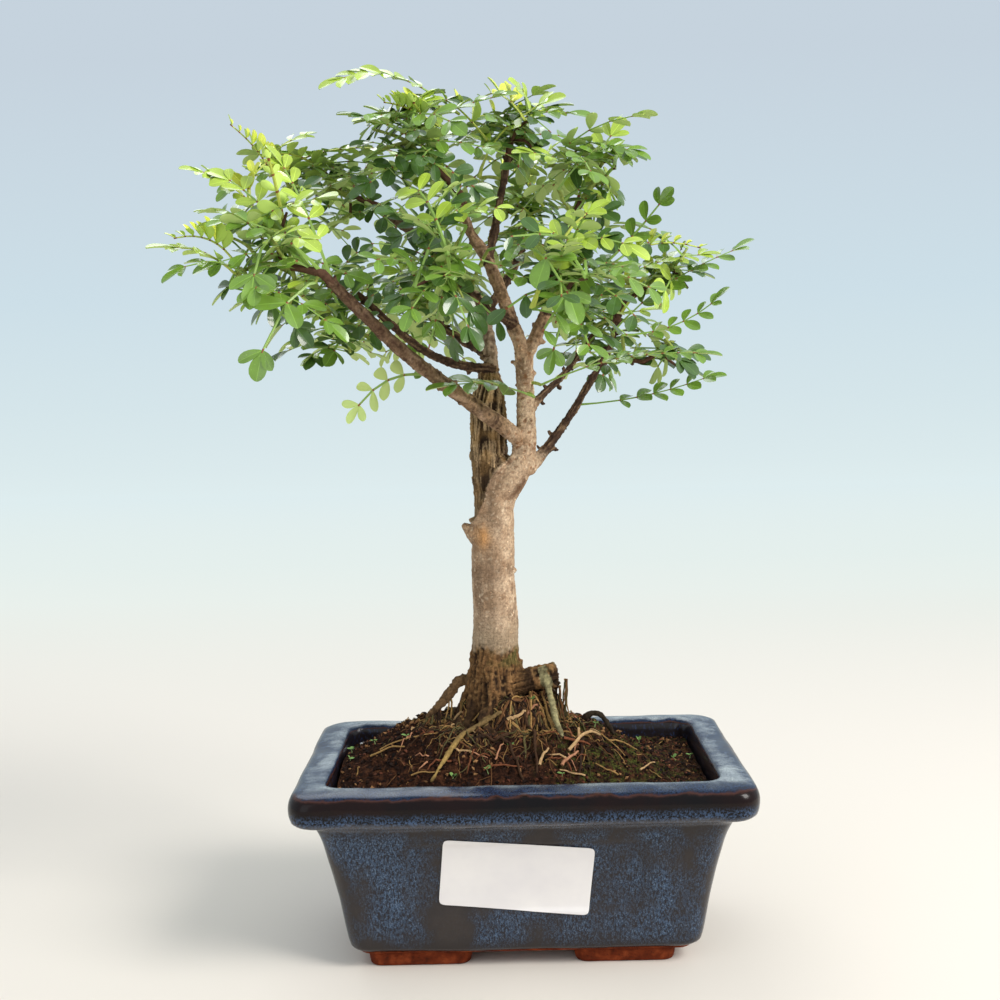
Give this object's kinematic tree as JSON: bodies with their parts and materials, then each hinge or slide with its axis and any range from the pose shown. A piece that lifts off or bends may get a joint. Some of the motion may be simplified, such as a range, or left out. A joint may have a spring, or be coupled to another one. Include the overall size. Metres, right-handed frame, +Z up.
{
  "type": "potted bonsai tree",
  "caption": "Small leafy bonsai tree with a forked trunk and surface roots, in a mound of soil in a glazed rectangular clay pot on low feet.",
  "frame": {"origin": "middle of the whole plant and pot seen from above, on the surface that the pot's feet stand on", "axes": "+Z up the trunk, +X to the right along the pot's long side as seen from the front, -Y towards the front"},
  "size_m": [0.1953, 0.1363, 0.3004],
  "materials": {
    "glaze": "gloss",
    "clay": "matte",
    "label": "satin",
    "soil": "matte",
    "bark": "matte",
    "old_bark": "matte",
    "root": "matte",
    "leaf": "satin"
  },
  "bodies": {
    "root": {"back_left_bough": "bark", "back_middle_bough": "bark", "back_right_bough": "bark", "blank_label": "label", "clay_base": "clay", "crossing_bough": "bark", "dark_branch": "bark", "far_right_bough": "bark", "front_left_twig": "bark", "front_twig": "bark", "grey_limb": "bark", "inner_left_bough": "bark", "inner_right_bough": "bark", "leaves_back": "leaf", "leaves_back_left": "leaf", "leaves_back_right": "leaf", "leaves_far_left": "leaf", "leaves_front": "leaf", "leaves_front_left": "leaf", "leaves_low_left": "leaf", "leaves_low_right": "leaf", "leaves_right": "leaf", "leaves_top": "leaf", "leaves_top_left": "leaf", "leaves_top_right": "leaf", "leaves_upper_left": "leaf", "low_right_twig": "bark", "old_stem": "old_bark", "pot_body": "glaze", "right_stem": "bark", "root_front_left": "root", "root_front_right": "root", "root_left_claw": "root", "root_right_loop": "root", "soil": "soil", "top_twig": "bark", "trunk": "bark"}
  },
  "joints": []
}
